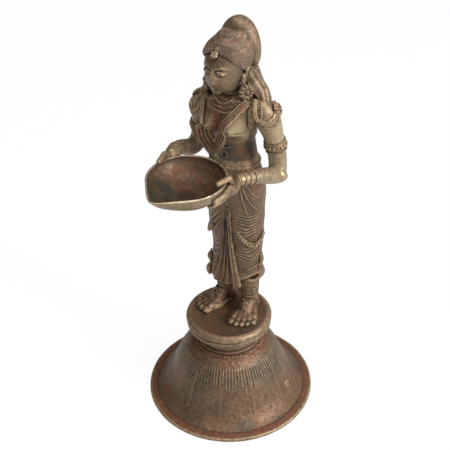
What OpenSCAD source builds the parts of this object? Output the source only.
// Standing lamp-bearer oil lamp: a cast figure holds a spouted oil bowl in front of its waist.
// The figure stands on a round plinth, and the plinth's spigot turns in the crown of a hollow bell base.
// Frame: millimetres, +Z up, origin on the floor at the centre of the base.
// The figure looks along -Y, and its own left is +X.

/* [Base] */
// Outer diameter of the foot rim
rim_d = 100; // [90:1:120]
// Thickness of the foot rim at its edge
rim_t = 1.8; // [1.2:0.1:3]
// Width of the flat foot rim outside the flare
rim_flat = 5.4; // [4:0.2:7]
// Diameter of the bell where it meets the foot rim
bell_foot_d = 75.6; // [70:0.2:84]
// Height of the bell's foot above the floor
bell_foot_z = 5; // [4:0.5:8]
// Diameter of the bell at its neck
bell_neck_d = 43; // [38:0.5:48]
// Diameter of the throat between the bell's shoulder and the plinth
throat_d = 36; // [32:0.5:40]
// Height of the flat crown of the bell above the floor
bell_h = 46; // [38:1:60]
// Outward bulge of the bell's side
bell_bulge = 2.2; // [0.5:0.1:4]
// Height at which the bell's side starts to flare into the foot rim
flare_z = 14; // [10:0.5:18]
// Wall thickness of the bell
bell_wall = 2.8; // [2:0.1:4]
// Thickness of the bell's crown
crown_t = 5; // [4:0.5:8]
// Diameter of the rivets that plug the casting holes in the foot
rivet_d = 4.4; // [3:0.1:5]

/* [Plinth] */
// Diameter of the plinth disc
plinth_d = 50.6; // [48:0.2:60]
// Height of the plinth from the bell's crown to the standing surface
plinth_h = 12.6; // [11:0.2:16]
// Radius of the rounded edge of the plinth disc
plinth_edge = 3; // [2:0.1:4]
// Height of the lip under the plinth disc
lip_h = 4; // [3:0.1:4.6]

/* [Fixing under the bell] */
// Diameter of the spigot that turns in the crown
spigot_d = 12; // [10:0.5:16]
// Diameter of the tie stud
stud_d = 6; // [4:0.5:8]
// Length of the stud held in the plinth
stud_grip = 6; // [4:0.5:8]
// Outer diameter of the washer
washer_d = 20; // [18:0.5:26]
// Thickness of the washer
washer_t = 1.2; // [0.8:0.1:2]
// Width of the nut across its flats
nut_af = 10; // [10:0.5:14]
// Height of the nut
nut_h = 5; // [4:0.5:7]
// Running clearance of turning and threaded fits
run_gap = 0.05; // [0.03:0.01:0.1]
// Axial play of the figure on the bell
lift_gap = 0.1; // [0.05:0.01:0.2]

/* [Figure heights above the plinth] */
// Hem of the skirt
hem_up = 25; // [21:0.5:30]
// Knees
knee_up = 58.5; // [53:0.5:64]
// Widest level of the hips
hip_up = 85.5; // [80:0.5:90]
// Waistline, where the skirt ends
waist_up = 105.5; // [101:0.5:109]
// Level of the bust
bust_up = 127.5; // [124:0.5:130]
// Top of the shoulders
shoulder_up = 143.3; // [141:0.1:147]
// Base of the neck
neck_up = 144.6; // [144.4:0.1:150]

/* [Figure widths] */
// Width across the hem
hem_w = 32; // [28:0.5:36]
// Slope of the hem where it rises over the left foot, in degrees
hem_tilt = 24; // [10:1:30]
// Width across the knees
knee_w = 33; // [29:0.5:37]
// Width across the hips
hip_w = 34.5; // [31:0.5:39]
// Depth of the hips from front to back
hip_depth = 26; // [22:0.5:30]
// Width across the waist
waist_w = 23.5; // [21:0.5:28]
// Depth of the waist
waist_depth = 19; // [16:0.5:22]
// Width across the chest at the shoulders
chest_w = 34; // [31:0.5:39]
// How much lower the right shoulder is than the left
right_drop = 6; // [0:0.5:8]
// How much nearer the middle the right arm hangs than the left
right_in = 2; // [0:0.2:3]
// Depth of the chest
chest_depth = 19; // [16:0.5:22]
// How far the bust stands out from the chest
bust_out = 8; // [4:0.1:9]
// Distance between the bust centres
bust_gap = 16.4; // [14:0.2:19]
// Diameter of the neck
neck_d = 11.4; // [10:0.2:13]
// How far the body stands behind the axis of the base
body_back = 9; // [4:0.5:11]

/* [Head] */
// Forward bow of the head in degrees
head_bow = 4; // [0:1:20]
// Height of the head from chin to crown
head_h = 28; // [25:0.5:32]
// Width of the head
head_w = 20.5; // [18:0.5:24]
// Depth of the head from face to back
head_depth = 23; // [21:0.5:27]
// Thickness of the dressed hair over the skull
hair_t = 1.6; // [1:0.1:3]
// Width of the chignon
bun_w = 24; // [18:0.5:30]
// Height of the chignon
bun_h = 34; // [24:0.5:36]
// Thickness of the chignon
bun_t = 15; // [9:0.5:18]
// Diameter of the ear discs
ear_disc_d = 8.6; // [6:0.2:11]

/* [Arms] */
// Half the distance between the shoulder joints
shoulder_x = 19.4; // [17:0.2:23]
// How far the elbows stand out from the middle
elbow_x = 27.4; // [25:0.2:33]
// Drop from the shoulder joint to the elbow
upper_arm_drop = 37.5; // [34:0.5:41]
// Radius of the arm at the shoulder
shoulder_r = 6.6; // [5.5:0.1:7.5]
// Radius of the arm at the elbow
elbow_r = 4.8; // [4:0.1:6]
// Radius of the wrist
wrist_r = 3; // [2.6:0.1:4]
// Thickness of the armlets, bangles and anklets
ring_t = 1.3; // [1:0.1:2]

/* [Lamp bowl] */
// Radius of the bowl's rim
bowl_r = 21; // [18:0.5:24]
// Reach of the spout's tip from the bowl's centre
spout_reach = 27.5; // [25:0.5:32]
// Turn of the spout towards the figure's right, in degrees
spout_turn = 3; // [0:0.5:6]
// Depth of the bowl
bowl_depth = 14; // [11:0.5:18]
// Wall thickness of the bowl
bowl_wall = 1.8; // [1.2:0.1:2.5]
// How far the bowl's centre stands in front of the axis of the base
bowl_front = 33.5; // [31:0.5:38]
// Height of the bowl's rim above the plinth
bowl_up = 113.6; // [110:0.2:118]

/* [Ornaments] */
// Radius of the beaded strings
string_r = 1.1; // [0.8:0.1:1.6]
// Clearance of the laid-on pieces from what carries them
lay_gap = 0.12; // [0.05:0.01:0.3]
// Width of the front pleats at their top
pleat_top_w = 4.5; // [3:0.5:8]
// Width of the front pleats at the hem
pleat_hem_w = 20; // [16:0.5:24]
// Thickness of the front pleats
pleat_t = 2.6; // [1.5:0.1:4]
// How far the fronts of the pleats hang below the hem
pleat_drop = 2; // [0:0.5:4]
// Rise of the hanging pleats behind the legs
back_out = 0.8; // [0.3:0.1:1.2]

/* [Hidden] */
$fn = 64;
plinth_z = bell_h + lift_gap;
stand_z = plinth_z + plinth_h;
hem_z = stand_z + hem_up;
knee_z = stand_z + knee_up;
hip_z = stand_z + hip_up;
waist_z = stand_z + waist_up;
bust_z = stand_z + bust_up;
shoulder_z = stand_z + shoulder_up;
neck_z = stand_z + neck_up;
bowl_z = stand_z + bowl_up;
bowl_y = -bowl_front;
limb_sides = 16;
body_sides = 36;
head_sides = 26;
string_sides = 8;
bronze = "#7a6448";
dark_bronze = "#5b4a38";
red_bronze = "#7d5238";

// Curves and meshes

// A smooth curve through the rows, at s from 0 at the first row to 1 at the last
function curve(rows, s) =
    let (last = len(rows) - 1, at = min(max(s, 0), 1) * last, i = min(floor(at), last - 1), t = at - i,
        a = rows[max(i - 1, 0)], b = rows[i], c = rows[i + 1], d = rows[min(i + 2, last)])
    0.5 * (2 * b + (c - a) * t + (2 * a - 5 * b + 4 * c - d) * t * t + (3 * b - a - 3 * c + d) * t * t * t);

// The curve through rows of [height, values...], at height z
function at_height(rows, z) =
    let (last = len(rows) - 1,
        below = [for (k = [0 : last - 1]) if (rows[k][0] <= z) k],
        i = len(below) == 0 ? 0 : below[len(below) - 1],
        t = (z - rows[i][0]) / (rows[i + 1][0] - rows[i][0]))
    curve(rows, (i + min(max(t, 0), 1)) / last);

function unit(v) = v / norm(v);
function bell_curve(x, width) = exp(-x * x / (width * width));

// Points of a circular arc from p to q that bulges to its right by sag
function arc(p, q, sag, steps) =
    let (half = norm(q - p) / 2, r = (half * half + sag * sag) / (2 * sag), mid = (p + q) / 2,
        along = unit(q - p), out = [along[1], -along[0]], centre = mid - out * (r - sag),
        sweep = asin(min(half / r, 1)))
    [for (k = [0 : steps]) let (a = sweep * (2 * k / steps - 1))
        centre + r * (out * cos(a) + along * sin(a))];

// One solid through rings of equal point count, closed by flat caps or joined end to end
module loft(rings, loop = false) {
    m = len(rings[0]);
    n = len(rings);
    walls = [for (i = [0 : n - (loop ? 1 : 2)]) for (j = [0 : m - 1])
        let (i2 = (i + 1) % n, j2 = (j + 1) % m)
        each [[i * m + j, i2 * m + j, i2 * m + j2], [i * m + j, i2 * m + j2, i * m + j2]]];
    caps = loop ? [] : [[for (j = [0 : m - 1]) j], [for (j = [m - 1 : -1 : 0]) (n - 1) * m + j]];
    polyhedron(points = [for (r = rings) each r], faces = concat(walls, caps));
}

// A flat ring of points about the vertical through centre
function oval(centre, half_w, half_d, sides) =
    [for (j = [0 : sides - 1]) let (a = 360 * j / sides) centre + [half_w * cos(a), half_d * sin(a), 0]];

// A ring of points square to the path direction, with radius ra along side and rb across it
function square_ring(p, direction, side, ra, rb, sides) =
    let (n2 = unit(cross(direction, side)), n1 = cross(n2, direction))
    [for (j = [0 : sides - 1]) let (a = 360 * j / sides) p + ra * cos(a) * n1 + rb * sin(a) * n2];

// Rings of a limb along rows of [x, y, z, radius along side, radius across it]
function limb_rings(rows, side, steps, sides) =
    [for (k = [0 : steps]) let (s = k / steps, here = curve(rows, s),
        ahead = curve(rows, min(s + 0.01, 1)) - curve(rows, max(s - 0.01, 0)))
        square_ring([here[0], here[1], here[2]], unit([ahead[0], ahead[1], ahead[2]]), side,
            here[3], here[4], sides)];

// Rings of a string along points, with the outward normal of what it lies on
function string_rings(points, normals, r_out, r_side, sides, loop) =
    let (n = len(points))
    [for (k = [0 : n - 1]) let (a = points[loop ? (k + n - 1) % n : max(k - 1, 0)],
        b = points[loop ? (k + 1) % n : min(k + 1, n - 1)])
        square_ring(points[k], unit(b - a), normals[k], r_out, r_side, sides)];

// Rings of a strip along points, with a thickness and a half width at each point
function strip_rings(points, normals, outs, halves, sides) =
    let (last = len(points) - 1)
    [for (k = [0 : last]) square_ring(points[k], unit(points[min(k + 1, last)] - points[max(k - 1, 0)]),
        normals[k], outs[k], halves[k], sides)];

// Base

neck_band = 4;
foot_land = 4;
bell_steps = 14;
function bell_side(inset) = arc([bell_foot_d / 2 - inset, bell_foot_z],
    [bell_neck_d / 2 - inset, bell_h - neck_band], bell_bulge, bell_steps);
// Inside of the bell from the crown, under its sloping shoulder, down to the foot
crown_land = throat_d / 2 - 5;
function bell_inside() = concat([[crown_land, bell_h - crown_t]],
    [for (k = [bell_steps : -1 : 0]) let (q = bell_side(bell_wall)[k])
        [q[0], min(q[1], bell_h - crown_t - (q[0] - crown_land) * 0.75) - (k == 0 ? bell_wall : 0)]]);

// Side of the bell above its flare, its shoulder, and the hollow flare from the foot rim up to the side
bell_upper = [for (q = bell_side(0)) if (q[1] > flare_z && q[1] < bell_h - 9.5) q];
shoulder_foot = bell_upper[len(bell_upper) - 1];
bell_shoulder = arc(shoulder_foot, [throat_d / 2 + 0.9, bell_h - 5.4], 0.7, 5);
flare_steps = 6;
bell_flare = arc([rim_d / 2 - rim_flat, rim_t + 1.2], bell_upper[0], -1.6, flare_steps);

module bell_base() color(bronze) difference() {
    rotate_extrude() polygon(concat(
        [[rim_d / 2 - foot_land, 0], [rim_d / 2, 0], [rim_d / 2, rim_t]],
        [for (k = [0 : flare_steps - 1]) bell_flare[k]],
        bell_upper,
        [for (k = [1 : 5]) bell_shoulder[k]],
        [[throat_d / 2 + 0.9, bell_h - neck_band], [throat_d / 2, bell_h - neck_band + 0.5],
            [throat_d / 2, bell_h], [0, bell_h], [0, bell_h - crown_t]],
        bell_inside()));
    translate([0, 0, bell_h - crown_t - 1]) cylinder(d = spigot_d + 2 * run_gap, h = crown_t + 2);
}

rivet_angles = [14, 94, 174];
rivet_at = bell_flare[2];
rivet_tilt = atan((bell_flare[3][1] - bell_flare[1][1]) / (bell_flare[1][0] - bell_flare[3][0]));
module rim_rivets() color(red_bronze) for (a = rivet_angles) rotate(a)
    translate([rivet_at[0], 0, rivet_at[1]]) rotate([0, rivet_tilt, 0]) translate([0, 0, 4 * lay_gap])
        rotate_extrude()
            polygon(concat([[0, 0], [rivet_d / 2, 0]], arc([rivet_d / 2, 0.3], [0, 0.9], 0.2, 4)));

// Plinth and the fixing under the bell

spigot_end = bell_h - crown_t - lift_gap;
lip_top = plinth_h - plinth_edge - 1.8;

module plinth_disc() color(bronze) difference() {
    union() {
        translate([0, 0, plinth_z]) rotate_extrude() polygon(concat(
            [[0, 0], [throat_d / 2 + 0.3, 0]],
            arc([throat_d / 2 + 0.3, 0.6], [plinth_d / 2 - 1.9, lip_top - lip_h], -0.6, 6),
            arc([plinth_d / 2 - 1.8, lip_top - lip_h + 0.2], [plinth_d / 2 - 0.4, lip_top], 0.5, 6),
            [[plinth_d / 2 - 1, lip_top + 0.4], [plinth_d / 2 - 1, lip_top + 0.8]],
            arc([plinth_d / 2 - 0.7, lip_top + 1], [plinth_d / 2, plinth_h - plinth_edge], 0.1, 2),
            arc([plinth_d / 2, plinth_h - plinth_edge + 0.05], [plinth_d / 2 - plinth_edge, plinth_h],
                plinth_edge * (1 - sqrt(0.5)), 7),
            [[0, plinth_h]]));
        translate([0, 0, spigot_end]) cylinder(d = spigot_d, h = plinth_z + 1 - spigot_end);
    }
    translate([0, 0, spigot_end - 1])
        cylinder(d = stud_d + 2 * run_gap, h = plinth_z + stud_grip + 1 - spigot_end);
}

module tie_stud() color(dark_bronze) translate([0, 0, spigot_end - washer_t - nut_h - 2])
    cylinder(d = stud_d, h = plinth_z + stud_grip - spigot_end + washer_t + nut_h + 2);

module tie_washer() color(dark_bronze) translate([0, 0, spigot_end - washer_t]) difference() {
    cylinder(d = washer_d, h = washer_t);
    translate([0, 0, -1]) cylinder(d = stud_d + 4 * run_gap, h = washer_t + 2);
}

module tie_nut() color(dark_bronze) translate([0, 0, spigot_end - washer_t - nut_h]) difference() {
    cylinder(d = nut_af / cos(30), h = nut_h, $fn = 6);
    translate([0, 0, -1]) cylinder(d = stud_d + 2 * run_gap, h = nut_h + 2, $fn = 64);
}

// Feet

ankle_x = 8.6;
ankle_y = body_back + 0.5;
ankle_h = 9.5;
ankle_r = 4.7;
shin_r = 5.5;
left_splay = 12;
right_splay = 22;
toe_rows = [[4.6, -17, 2.9], [1.2, -18, 2.4], [-1.9, -17.4, 2.3], [-4.8, -15.7, 2.2], [-7.2, -13.2, 2.1]];

foot_sides = 14;
module dome(r, h) intersection() {
    scale([1, 1, h / r]) sphere(r, $fn = foot_sides);
    translate([-r, -r, 0]) cube([2 * r, 2 * r, h]);
}

module foot() {
    hull() {
        translate([0, 3.6, 0]) dome(4.6, 5);
        translate([0, 0, ankle_h]) sphere(ankle_r, $fn = foot_sides);
    }
    hull() {
        translate([0, 0, ankle_h]) sphere(ankle_r - 0.4, $fn = foot_sides);
        translate([0, -8.5, 0]) dome(5, 5.4);
    }
    hull() {
        translate([0, 2, 0]) dome(4.4, 3);
        translate([-2.8, -9.8, 0]) dome(5.4, 3.9);
        translate([2.9, -10.6, 0]) dome(5, 4.1);
    }
    hull() {
        translate([0, 0, ankle_h]) cylinder(r = ankle_r, h = 1, $fn = 32);
        translate([0, 0, hem_up - 1]) cylinder(r = shin_r, h = 1, $fn = 32);
    }
    for (toe = toe_rows) hull() {
        translate([toe[0] * 0.8, toe[1] + 6, 0]) dome(toe[2], toe[2] * 1.2);
        translate([toe[0], toe[1], 0]) dome(toe[2], toe[2]);
    }
}

module at_ankle(side) translate([side * ankle_x, ankle_y, stand_z]) children();
module left_foot() color(bronze) at_ankle(1) rotate(left_splay) mirror([1, 0, 0]) foot();
module right_foot() color(bronze) at_ankle(-1) rotate(-right_splay) foot();

anklet_ups = [12, 15, 18, 21];
function shin_at(up) = ankle_r + (shin_r - ankle_r) * min(max((up - ankle_h) / (hem_up - ankle_h), 0), 1);
module anklets() for (up = anklet_ups) translate([0, 0, up]) rotate_extrude()
    translate([shin_at(up + ring_t / 2) + lay_gap + ring_t / 2, 0]) circle(d = ring_t, $fn = 24);
module left_anklets() color(bronze) at_ankle(1) anklets();
module right_anklets() color(bronze) at_ankle(-1) anklets();

// Skirt and what lies on it

// Rows of [height, middle, half width, half depth, share of the front and back groove between the legs]
skirt_rows = [
    [hem_z, body_back, hem_w / 2, hip_depth / 2 - 1.5, 0.22],
    [hem_z + 9, body_back, hem_w / 2 - 0.6, hip_depth / 2 - 2.2, 0.2],
    [knee_z, body_back, knee_w / 2, hip_depth / 2 - 1.2, 0.18],
    [(knee_z + hip_z) / 2, body_back, (knee_w + hip_w) / 4, hip_depth / 2 - 0.4, 0.12],
    [hip_z, body_back, hip_w / 2, hip_depth / 2, 0.05],
    [(hip_z + 2 * waist_z) / 3, body_back, (hip_w + 2 * waist_w) / 6 + 2, hip_depth / 2 - 1.4, 0],
    [waist_z, body_back, waist_w / 2 + 1.6, waist_depth / 2 + 1.2, 0]];

function groove(x, half_w, depth) = 1 - depth * bell_curve(x, half_w * 0.4);
function ease(t) = let (u = min(max(t, 0), 1)) u * u * (3 - 2 * u);
// Rise of the hanging pleats behind the legs, at height z and angle t
back_pleats = 18;
function back_rise(z, t) = let (a = (t + 360) % 360)
    back_out * (1 - cos(back_pleats * a)) / 2 * ease((a - 15) / 25) * ease((165 - a) / 25)
    * ease((waist_z - 2 - z) / 12);
function skirt_pt(z, t) = let (r = at_height(skirt_rows, z), x = r[2] * cos(t), out = back_rise(z, t))
    [x + out * cos(t), r[1] + r[3] * sin(t) * groove(x, r[2], r[4]) + out * sin(t), z];
function skirt_normal(z, t) = unit(cross(skirt_pt(z, t + 2) - skirt_pt(z, t - 2),
    skirt_pt(min(z + 1, waist_z), t) - skirt_pt(max(z - 1, hem_z), t)));
function skirt_front(x, z) = let (r = at_height(skirt_rows, max(z, hem_z)))
    r[1] - r[3] * sqrt(1 - pow(min(abs(x) / r[2], 0.99), 2)) * groove(x, r[2], r[4]);

// Angles of the skirt's sides, closer together over the pleats behind
skirt_angles = concat([for (a = [0 : 5 : 175]) a], [for (a = [180 : 10 : 350]) a]);
skirt_steps = 26;
hem_side = 20;
// Everything below the hem, which rises over the left foot
module below_hem() translate([4, 0, hem_z]) rotate([0, -hem_tilt, 0])
    translate([0, -hip_depth * 2, -hem_side]) cube([hip_w, hip_depth * 4, hem_side]);
module skirt() color(bronze) difference() {
    loft([for (k = [0 : skirt_steps]) let (z = hem_z + (waist_z - hem_z) * k / skirt_steps)
        [for (t = skirt_angles) skirt_pt(z, t)]]);
    below_hem();
}

pleat_cuts = 12;
pleat_top = hip_z - 8;
function pleat_ring(z) =
    let (down = (pleat_top - z) / (pleat_top - hem_z),
        half = pleat_top_w / 2 + (pleat_hem_w - pleat_top_w) / 2 * pow(down, 1.6),
        xs = [for (k = [0 : pleat_cuts]) half * (2 * k / pleat_cuts - 1)])
    concat(
        [for (k = [0 : pleat_cuts]) [xs[k], skirt_front(xs[k], z) - lay_gap - 0.1
            - pleat_t * (k % 2 == 0 ? 0.55 : 1) * (k == 0 || k == pleat_cuts ? 0.6 : 1), z]],
        [for (k = [pleat_cuts : -1 : 0]) [xs[k], skirt_front(xs[k], z) - lay_gap - 0.1, z]]);

module front_pleats() color(bronze)
    loft([for (k = [0 : 16]) pleat_ring(hem_z - pleat_drop + (pleat_top - hem_z + pleat_drop) * k / 16)]);

// Tail of cloth that stands out in two folds beside the pleats
right_tail_t = 205;
left_tail_t = 172;
tail_low = hem_z - 4;
tail_top = hem_z + 12;
tail_steps = 14;
module hem_tail(tail_t, rise, swell) {
    zs = [for (k = [0 : tail_steps]) tail_low + rise + (tail_top - tail_low) * k / tail_steps];
    outs = [for (k = [0 : tail_steps]) 0.5 + swell * abs(sin(12 + 165 * k / 7.4)) * (1 - k / 20)];
    points = [for (k = [0 : tail_steps])
        on_skirt(max(zs[k], hem_z), tail_t, outs[k] + 2 * lay_gap) + [0, 0, min(zs[k] - hem_z, 0)]];
    loft(strip_rings(points, [for (z = zs) [cos(tail_t), sin(tail_t), 0]], outs,
        [for (k = [0 : tail_steps]) 3.4 - 0.16 * k], 10));
}
module right_hem_tail() color(bronze) hem_tail(right_tail_t, 0, 0.8);
module left_hem_tail() color(bronze) mirror([1, 0, 0]) hem_tail(left_tail_t, 6, 0.6);

function on_skirt(z, t, lift) = skirt_pt(z, t) + skirt_normal(z, t) * lift;

garland_steps = 20;
module leg_garland() {
    qs = [for (k = [0 : garland_steps]) k / garland_steps];
    zs = [for (q = qs) knee_z + 2 - 9 * sin(180 * q)];
    ts = [for (q = qs) 304 + 70 * q];
    points = [for (k = [0 : garland_steps]) on_skirt(zs[k], ts[k], string_r + 2 * lay_gap)];
    normals = [for (k = [0 : garland_steps]) skirt_normal(zs[k], ts[k])];
    loft(string_rings(points, normals, string_r, string_r * 1.3, string_sides, false));
}
module left_leg_garland() color(bronze) leg_garland();
module right_leg_garland() color(bronze) mirror([1, 0, 0]) leg_garland();

girdle_z = waist_z - 2.4;
girdle_r = 1.3;
module girdle() color(bronze) loft(string_rings(
    [for (t = [0 : 10 : 350]) on_skirt(girdle_z, t, girdle_r * 0.7 + 2 * lay_gap)],
    [for (t = [0 : 10 : 350]) skirt_normal(girdle_z, t)],
    girdle_r * 0.7, girdle_r, string_sides, true), loop = true);

// A flower boss of radius r that stands on a flat back, facing +Z
module rosette(r) {
    rotate_extrude()
        polygon(concat([[0, 0], [r * 0.8, 0]], arc([r * 0.8, r * 0.25], [0, r * 0.6], r * 0.15, 6)));
    for (a = [0 : 45 : 315]) rotate(a) translate([r * 0.78, 0, r * 0.24]) sphere(r * 0.23, $fn = 24);
}

module facing(p, n) translate(p) rotate([0, acos(n[2]), atan2(n[1], n[0])]) children();

knot_z = waist_z - 10;
knot_t = 340;
knot_r = 3.4;
module sash_knot() facing(on_skirt(knot_z, knot_t, lay_gap), skirt_normal(knot_z, knot_t)) rosette(knot_r);
module left_sash_knot() color(bronze) sash_knot();
module right_sash_knot() color(bronze) mirror([1, 0, 0]) sash_knot();

// Torso and its strings

chest_y = body_back - 1;
neck_y = body_back - 0.4;
head_pivot = [0, neck_y - 3.4, neck_z + 2.4];
function to_head(p) = head_pivot
    + [p[0], p[1] * cos(head_bow) - p[2] * sin(head_bow), p[1] * sin(head_bow) + p[2] * cos(head_bow)];

// Rows of [height, middle, half width, half depth]
torso_rows = [
    [waist_z, body_back, waist_w / 2 + 1.4, waist_depth / 2 + 1],
    [(waist_z + bust_z) / 2, body_back, waist_w / 2, waist_depth / 2],
    [bust_z - 6, body_back - 0.5, waist_w / 2 + 1, waist_depth / 2],
    [bust_z, chest_y, (waist_w + chest_w) / 4, chest_depth / 2],
    [(bust_z + shoulder_z) / 2, chest_y, chest_w / 2 - 0.8, chest_depth / 2],
    [shoulder_z - 3.4, chest_y, chest_w / 2, chest_depth / 2 - 0.5],
    [shoulder_z, chest_y - 0.3, chest_w / 2 - 1.6, chest_depth / 2 - 1.4],
    [(shoulder_z + neck_z) / 2, chest_y - 0.6, chest_w / 2 - 6, chest_depth / 2 - 2.4],
    [neck_z, neck_y + 0.2, neck_d / 2 + 0.4, neck_d / 2 + 0.4]];
torso_top = neck_z;

function bust(x, z) = bust_out * (bell_curve(x - bust_gap / 2, 6.6) + bell_curve(x + bust_gap / 2, 6.6))
    * bell_curve(z - bust_z, z < bust_z ? 4.8 : 8.4);
// How far the shoulder on this side sinks at distance x from the middle
function sink(x, z, drop) = drop * ease(abs(x) / chest_w * 2) * ease((z - bust_z) / (shoulder_z - bust_z));
function torso_pt(z, t, drop) = let (r = at_height(torso_rows, z), x = r[2] * cos(t))
    [x, r[1] + r[3] * sin(t) - bust(x, z) * max(-sin(t), 0), z - sink(x, z, drop)];
function torso_normal(z, t, drop) = unit(cross(torso_pt(z, t + 2, drop) - torso_pt(z, t - 2, drop),
    torso_pt(min(z + 0.6, torso_top), t, drop) - torso_pt(max(z - 0.6, waist_z), t, drop)));
function on_torso(z, t, lift, drop) = torso_pt(z, t, drop) + torso_normal(z, t, drop) * lift;
function side_drop(t) = cos(t) < 0 ? right_drop : 0;
// Angle at which the front of the torso reaches x at height z
function front_angle(x, z) = let (c = acos(min(max(x / at_height(torso_rows, z)[2], -1), 1))) -c;

torso_steps = 30;
module torso_solid() loft(concat(
    [for (k = [0 : torso_steps]) let (z = waist_z + (torso_top - waist_z) * k / torso_steps)
        [for (j = [0 : body_sides - 1]) let (t = 360 * j / body_sides) torso_pt(z, t, side_drop(t))]],
    [[for (p = oval([0, 0, 0], neck_d / 2, neck_d / 2, body_sides)) to_head(p)]]));
module torso() color(bronze) torso_solid();

// Level at which the torso reaches distance r from the middle of the neck, at angle t
function yoke_level(t, r) = [for (z = [torso_top : -0.1 : bust_z])
    if (norm(torso_pt(z, t, 0) - [0, neck_y, torso_pt(z, t, 0)[2]]) >= r) z][0];
module collar_necklace() color(bronze) {
    ts = [for (t = [0 : 10 : 350]) t];
    zs = [for (t = ts) yoke_level(t, neck_d / 2 + 2.4 + 2.4 * max(-sin(t), 0))];
    points = [for (k = [0 : 35]) on_torso(zs[k], ts[k], string_r + 4 * lay_gap, side_drop(ts[k]))];
    normals = [for (k = [0 : 35]) torso_normal(zs[k], ts[k], side_drop(ts[k]))];
    loft(string_rings(points, normals, string_r, string_r * 1.2, string_sides, true), loop = true);
}

// Half of the shawl: from the shoulder over the bust, then hanging free to the navel
shawl_top_x = 10.4;
shawl_end_x = 2.4;
shawl_low = bust_z - 12.5;
shawl_top = shoulder_z - 0.6;
shawl_steps = 20;
function shawl_x(q) = shawl_end_x + (shawl_top_x - shawl_end_x) * pow(1 - q, 1.7);
function shawl_z(q) = shawl_top + (shawl_low - shawl_top) * q;
function shawl_bed(q, drop) = let (z = shawl_z(q), x = shawl_x(q))
    on_torso(z, front_angle(x, z), shawl_t + 2 * lay_gap, drop);
shawl_t = 1.2;
shawl_hang = min([for (k = [0 : shawl_steps]) shawl_bed(k / shawl_steps, 0)[1]]);
module shawl_band(drop) {
    qs = [for (k = [0 : shawl_steps]) k / shawl_steps];
    beds = [for (q = qs) let (b = shawl_bed(q, drop))
        shawl_z(q) < bust_z ? [b[0], min(b[1], shawl_hang), b[2]] : b];
    normals = [for (q = qs) let (z = shawl_z(q))
        z < bust_z ? [0, -1, 0] : torso_normal(z, front_angle(shawl_x(q), z), drop)];
    loft(strip_rings(beds, normals, [for (q = qs) shawl_t], [for (q = qs) 2.3 - 0.5 * q], 10));
}
module left_shawl_band() color(bronze) shawl_band(0);
module right_shawl_band() color(bronze) mirror([1, 0, 0]) shawl_band(right_drop);

// Leaf-shaped tassel that hangs over the front of the shoulder, inside the arm
lock_steps = 12;
lock_h = 13;
lock_in = 4.1;
module shoulder_lock(drop, in) {
    qs = [for (k = [0 : lock_steps]) k / lock_steps];
    zs = [for (q = qs) shoulder_z - 1.4 - lock_h * q];
    ts = [for (k = [0 : lock_steps]) front_angle(shoulder_x - lock_in - in - 1.4 * qs[k], zs[k])];
    points = [for (k = [0 : lock_steps]) on_torso(zs[k], ts[k], string_r + 2 * lay_gap, drop)];
    normals = [for (k = [0 : lock_steps]) torso_normal(zs[k], ts[k], drop)];
    difference() {
        loft(string_rings(points, normals, string_r, 1, string_sides, false));
        arm(drop);
    }
}
module left_shoulder_lock() color(bronze) shoulder_lock(0, 0);
module right_shoulder_lock() color(bronze) mirror([1, 0, 0]) shoulder_lock(right_drop, right_in);

// Head, in its own frame from the top of the neck

// Rows of [height, middle, half width, half depth]
head_rows = [
    [0, 0, neck_d / 2, neck_d / 2],
    [head_h * 0.06, -1.2, neck_d / 2 + 0.6, neck_d / 2 + 1.6],
    [head_h * 0.17, -3.6, head_w * 0.37, head_depth * 0.38],
    [head_h * 0.34, -3.4, head_w * 0.44, head_depth * 0.455],
    [head_h * 0.52, -2.4, head_w * 0.48, head_depth * 0.49],
    [head_h * 0.7, -0.8, head_w * 0.5, head_depth * 0.49],
    [head_h * 0.84, 1, head_w * 0.45, head_depth * 0.41],
    [head_h * 0.94, 2.3, head_w * 0.32, head_depth * 0.29],
    [head_h * 0.985, 2.3, head_w * 0.18, head_depth * 0.18],
    [head_h, 2.3, head_w * 0.05, head_depth * 0.055]];

function nose(x, z) = 2 * bell_curve(x, 1.7) * bell_curve(z - head_h * 0.4, 2.6);
function head_pt(z, t) = let (r = at_height(head_rows, z), x = r[2] * cos(t))
    [x, r[1] + r[3] * sin(t) - nose(x, z) * max(-sin(t), 0), z];
function head_normal(z, t) = unit(cross(head_pt(z, t + 3) - head_pt(z, t - 3),
    head_pt(min(z + 0.4, head_h), t) - head_pt(max(z - 0.4, 0), t)));
module at_head() translate(head_pivot) rotate([head_bow, 0, 0]) children();

ear_x = head_w / 2 + 1;
lobe_r = 1.1;
lobe = [ear_x - lobe_r, -1.8, head_h * 0.18];
module ear() hull() {
    translate([head_w * 0.46, -0.4, head_h * 0.35]) sphere(1.8, $fn = 14);
    translate(lobe) sphere(lobe_r, $fn = 14);
}
// Heights of the head's rings, closer together at the crown
head_levels = [for (k = [0 : 26]) head_h * (k < 22 ? 0.94 * k / 22 : 0.94 + 0.015 * (k - 22))];
// A ring of the head at height z, grown by lift
function head_ring(z, lift) = [for (j = [0 : head_sides - 1]) let (t = 360 * j / head_sides)
    head_pt(z, t) + head_normal(z, t) * lift];
module head() color(bronze) at_head() {
    loft([for (z = head_levels) head_ring(z, 0)]);
    ear();
    mirror([1, 0, 0]) ear();
}

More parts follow.
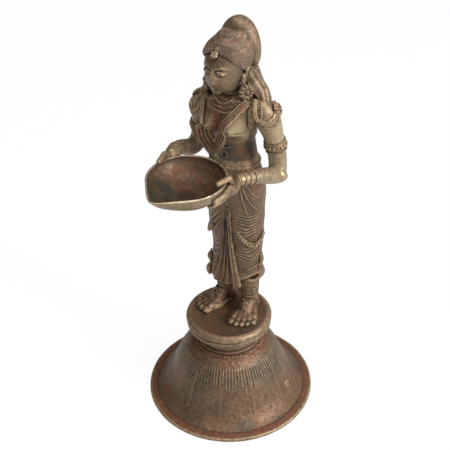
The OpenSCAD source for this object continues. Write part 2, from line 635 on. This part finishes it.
// Height of the hairline at angle t: high over the brow and low at the nape
function hairline(t) = head_h * (0.24 + 0.61 * (1 - sin(t)) / 2);
function hair_ring(share, lift) = [for (j = [0 : head_sides - 1])
    let (t = 360 * j / head_sides, z = head_h + (hairline(t) - head_h) * share)
    head_pt(z, t) + head_normal(z, t) * lift];
hair_shares = [0, 0.012, 0.05, 0.1, 0.16, 0.23, 0.32, 0.43, 0.56, 0.7, 0.85, 1];
module hair_cap() color(dark_bronze) at_head() loft(concat(
    [for (s = hair_shares) hair_ring(s, 4 * lay_gap)],
    [for (k = [len(hair_shares) - 1 : -1 : 0]) hair_ring(hair_shares[k], hair_t)]));

jewel_r = 2;
module forehead_jewel() color(bronze) at_head() {
    z = hairline(270) - jewel_r * 0.45;
    facing(head_pt(z, 270) + head_normal(z, 270) * (lay_gap + hair_t), head_normal(z, 270))
        rosette(jewel_r);
}

bun_y = 11;
bun_mid = head_h * 0.63;
bun_steps = 16;
// Ring of the chignon at slope a from its middle, -90 at its foot to 90 at its top
function bun_ring(a) = let (z = bun_mid + bun_h / 2 * sin(a), y = bun_y + (z - bun_mid) * tan(head_bow))
    oval([0, y, z], bun_w / 2 * cos(a), bun_t / 2 * pow(cos(a), 0.7), head_sides);
module hair_bun() color(dark_bronze) at_head() difference() {
    loft([for (k = [0 : bun_steps]) bun_ring(-88 + 176 * k / bun_steps)]);
    loft([for (z = head_levels) head_ring(z, hair_t + 2 * lay_gap)]);
}

ear_out = unit([0.85, -0.5, 0.15]);
module ear_disc() facing(lobe + ear_out * (lobe_r + 5 * lay_gap) + [0.3, 0.6, -3.2], ear_out)
    rosette(ear_disc_d / 2);
module left_ear_disc() color(bronze) at_head() ear_disc();
module right_ear_disc() color(bronze) at_head() mirror([1, 0, 0]) ear_disc();

// Broad ribbon of hair that falls from behind the ear to the top of the shoulder
function ribbon_rows(drop) = [
    [head_w / 2 + 2.1, neck_y + 1.7, neck_z + 14.5, 1.9, 3],
    [head_w / 2 + 1.9, neck_y + 2.3, neck_z + 9.4, 2.9, 4],
    [head_w / 2 + 3.6, neck_y + 2.6, neck_z + 5 - drop / 3, 3.2, 4.4],
    [shoulder_x - 0.6, neck_y + 2.9, neck_z + 2.2 - drop, 2.1, 3.3]];
module hair_ribbon(drop) loft(limb_rings(ribbon_rows(drop), [1, 0, 0.6], 14, 10));
module left_hair_ribbon() color(dark_bronze) hair_ribbon(0);
module right_hair_ribbon() color(dark_bronze) mirror([1, 0, 0]) hair_ribbon(right_drop);

// Lamp bowl

// Rounding of the spout's tip, as an angle
tip_round = 7;
tip_angle = acos(bowl_r / spout_reach) + tip_round;
function rim_at(phi) = let (f = norm([phi > 180 ? phi - 360 : phi, tip_round]))
    bowl_r / cos(max(0, tip_angle - f));
// Outline of the bowl at angle phi from the spout and at a share of the depth
function bowl_reach(phi, deep) = sqrt(1 - pow(deep, 2.2))
    * (bowl_r + (rim_at(phi) - bowl_r) * pow(1 - deep, 1.2));
function bowl_pt(phi, deep) = let (r = bowl_reach(phi, deep))
    [r * sin(phi - spout_turn), bowl_y - r * cos(phi - spout_turn), bowl_z - deep * bowl_depth];
function bowl_normal(phi, deep) = unit(cross(bowl_pt(phi + 2, deep) - bowl_pt(phi - 2, deep),
    bowl_pt(phi, max(deep - 0.03, 0)) - bowl_pt(phi, min(deep + 0.03, 0.97))));
function bowl_in(phi, deep) = let (r = bowl_reach(phi, deep) - bowl_wall)
    [r * sin(phi - spout_turn), bowl_y - r * cos(phi - spout_turn), bowl_z - deep * (bowl_depth - bowl_wall)];
bowl_levels = [0, 0.08, 0.22, 0.4, 0.6, 0.78, 0.92];
bowl_sides = 40;
module lamp_bowl() color(dark_bronze) loft(concat(
    [[for (j = [0 : bowl_sides - 1]) bowl_pt(360 * j / bowl_sides, 0.98)]],
    [for (k = [6 : -1 : 0]) [for (j = [0 : bowl_sides - 1]) bowl_pt(360 * j / bowl_sides, bowl_levels[k])]],
    [for (k = [0 : 6]) [for (j = [0 : bowl_sides - 1]) bowl_in(360 * j / bowl_sides, bowl_levels[k])]]));

// Arms and hands

wrist = [21.6, bowl_y + 15, bowl_z - 2];
// Rows of [x, y, z, radius, radius] from inside the shoulder to the wrist
function arm_rows(drop) = let (top = shoulder_z - drop,
    elbow_z = shoulder_z - 3 - upper_arm_drop - drop / 4,
    fore_z = (elbow_z + wrist[2]) / 2 + 1.4,
    fore_r = (elbow_r + wrist_r) / 2, in = right_drop > 0 ? right_in * drop / right_drop : 0) [
    [shoulder_x - 6 - in, chest_y, top - 4, shoulder_r - 1.8, shoulder_r - 1.8],
    [shoulder_x - 0.6 - in, chest_y, top - 5.6, shoulder_r - 0.1, shoulder_r - 0.1],
    [shoulder_x + 2.6 - in, chest_y + 0.8, top - 12, shoulder_r - 0.2, shoulder_r - 0.2],
    [(shoulder_x + elbow_x) / 2 + 1 - in, chest_y + 2, (top + elbow_z) / 2 - 1, elbow_r + 0.4, elbow_r + 0.4],
    [elbow_x - 1 - in, chest_y + 2.4, elbow_z + 6, elbow_r, elbow_r],
    [elbow_x - in / 2, chest_y - 1.6, elbow_z + 0.6, elbow_r, elbow_r],
    [(elbow_x + wrist[0]) / 2 + 1.4, (chest_y + wrist[1]) / 2 - 1, fore_z, fore_r, fore_r],
    [wrist[0], wrist[1], wrist[2], wrist_r, wrist_r]];
arm_steps = 28;
function arm_at(s, drop) = curve(arm_rows(drop), s);
function arm_pt(s, drop) = let (r = arm_at(s, drop)) [r[0], r[1], r[2]];
function arm_way(s, drop) = unit(arm_pt(min(s + 0.01, 1), drop) - arm_pt(max(s - 0.01, 0), drop));

module arm(drop) loft(limb_rings(arm_rows(drop), [0, 0.6, 0.8], arm_steps, limb_sides));
module left_arm() color(bronze) difference() {
    arm(0);
    torso_solid();
}
module right_arm() color(bronze) difference() {
    mirror([1, 0, 0]) arm(right_drop);
    torso_solid();
}

// A round ring on the arm at share s of its length
module arm_ring(s, t, drop) facing(arm_pt(s, drop), arm_way(s, drop)) rotate_extrude()
    translate([arm_at(s, drop)[3] + 2 * lay_gap + t / 2, 0]) circle(d = t, $fn = 24);

sleeve_s = 0.26;
armlet_s = 0.47;
bangle_s = [0.9, 0.93, 0.96];
// A band round the outer side of the arm, open at the armpit
module sleeve_band(drop) facing(arm_pt(sleeve_s, drop), arm_way(sleeve_s, drop)) rotate(90)
    rotate_extrude(angle = 180) translate([arm_at(sleeve_s, drop)[3] + 2 * lay_gap + ring_t / 2, 0])
        circle(d = ring_t, $fn = 24);
module left_sleeve_band() color(bronze) sleeve_band(0);
module right_sleeve_band() color(bronze) mirror([1, 0, 0]) sleeve_band(right_drop);
module left_armlet() color(bronze) arm_ring(armlet_s, ring_t, 0);
module right_armlet() color(bronze) mirror([1, 0, 0]) arm_ring(armlet_s, ring_t, right_drop);
module left_bangles() color(bronze) for (s = bangle_s) arm_ring(s, ring_t * 0.65, 0);
module right_bangles() color(bronze) mirror([1, 0, 0])
    for (s = bangle_s) arm_ring(s, ring_t * 0.65, right_drop);

boss_s = 0.17;
boss_out = unit([0.86, 0.3, 0.42]);
boss_r = 3.4;
module shoulder_rosette(drop)
    facing(arm_pt(boss_s, drop) + boss_out * (arm_at(boss_s, drop)[3] + 3 * lay_gap), boss_out)
        rosette(boss_r);
module left_rosette() color(bronze) shoulder_rosette(0);
module right_rosette() color(bronze) mirror([1, 0, 0]) shoulder_rosette(right_drop);

finger_r = 1.5;
finger_sides = 10;
palm_r = 3.4;
function on_bowl(phi, deep, lift) = bowl_pt(phi, deep) + bowl_normal(phi, deep) * lift;
module link(a, ra, b, rb) hull() {
    translate(a) sphere(ra, $fn = finger_sides);
    translate(b) sphere(rb, $fn = finger_sides);
}
knuckle_phi = 112;
palm = on_bowl(125, 0.36, 3.5);
// Middle of a finger over the bowl's side
function finger_bed(phi, deep, r) = on_bowl(phi, deep, r + 2 * lay_gap);
module hand(drop) {
    hull() {
        facing(wrist + arm_way(1, drop) * lay_gap, arm_way(1, drop))
            cylinder(r = wrist_r - 0.2, h = 0.8, $fn = 20);
        translate(palm) sphere(palm_r, $fn = 14);
    }
    hull() {
        translate(palm) sphere(palm_r, $fn = 14);
        for (k = [0, 3]) translate(finger_bed(knuckle_phi, 0.16 + 0.15 * k, finger_r))
            sphere(finger_r, $fn = finger_sides);
    }
    for (k = [0 : 3]) {
        base = finger_bed(knuckle_phi, 0.16 + 0.15 * k, finger_r);
        middle = finger_bed(knuckle_phi - 15, 0.22 + 0.16 * k, finger_r);
        tip = finger_bed(knuckle_phi - 32 + 3 * k, 0.26 + 0.17 * k, finger_r * 0.8);
        link(base, finger_r, middle, finger_r);
        link(middle, finger_r, tip, finger_r * 0.8);
    }
    thumb_lift = [0, 0, finger_r + 2 * lay_gap];
    thumb_root = bowl_pt(117, 0) + thumb_lift + [1.2, 0, 0.4];
    thumb_tip = bowl_in(97, 0) + thumb_lift + [-0.6, 0, 0.1];
    link(palm + [0, 0, 2.4], 2, thumb_root, finger_r * 1.1);
    link(thumb_root, finger_r * 1.1, thumb_tip, finger_r);
}
// The room of the bowl and its contents, kept clear of the hands
module bowl_room() loft([for (deep = [0.98, 0.94, 0.86, 0.74, 0.6, 0.44, 0.28, 0.14, 0.04, 0])
    [for (j = [0 : bowl_sides - 1]) on_bowl(360 * j / bowl_sides, deep, lay_gap)]]);
module left_hand() color(bronze) difference() {
    hand(0);
    bowl_room();
    arm(0);
}
module right_hand() color(bronze) difference() {
    mirror([1, 0, 0]) hand(right_drop);
    bowl_room();
    mirror([1, 0, 0]) arm(right_drop);
}

bell_base();
rim_rivets();
plinth_disc();
tie_stud();
tie_washer();
tie_nut();
left_foot();
right_foot();
left_anklets();
right_anklets();
skirt();
front_pleats();
left_hem_tail();
right_hem_tail();
left_leg_garland();
right_leg_garland();
girdle();
left_sash_knot();
right_sash_knot();
torso();
collar_necklace();
left_shawl_band();
right_shawl_band();
head();
hair_cap();
forehead_jewel();
hair_bun();
left_ear_disc();
right_ear_disc();
left_hair_ribbon();
right_hair_ribbon();
left_shoulder_lock();
right_shoulder_lock();
left_arm();
right_arm();
left_sleeve_band();
right_sleeve_band();
left_rosette();
right_rosette();
left_armlet();
right_armlet();
left_bangles();
right_bangles();
left_hand();
right_hand();
lamp_bowl();
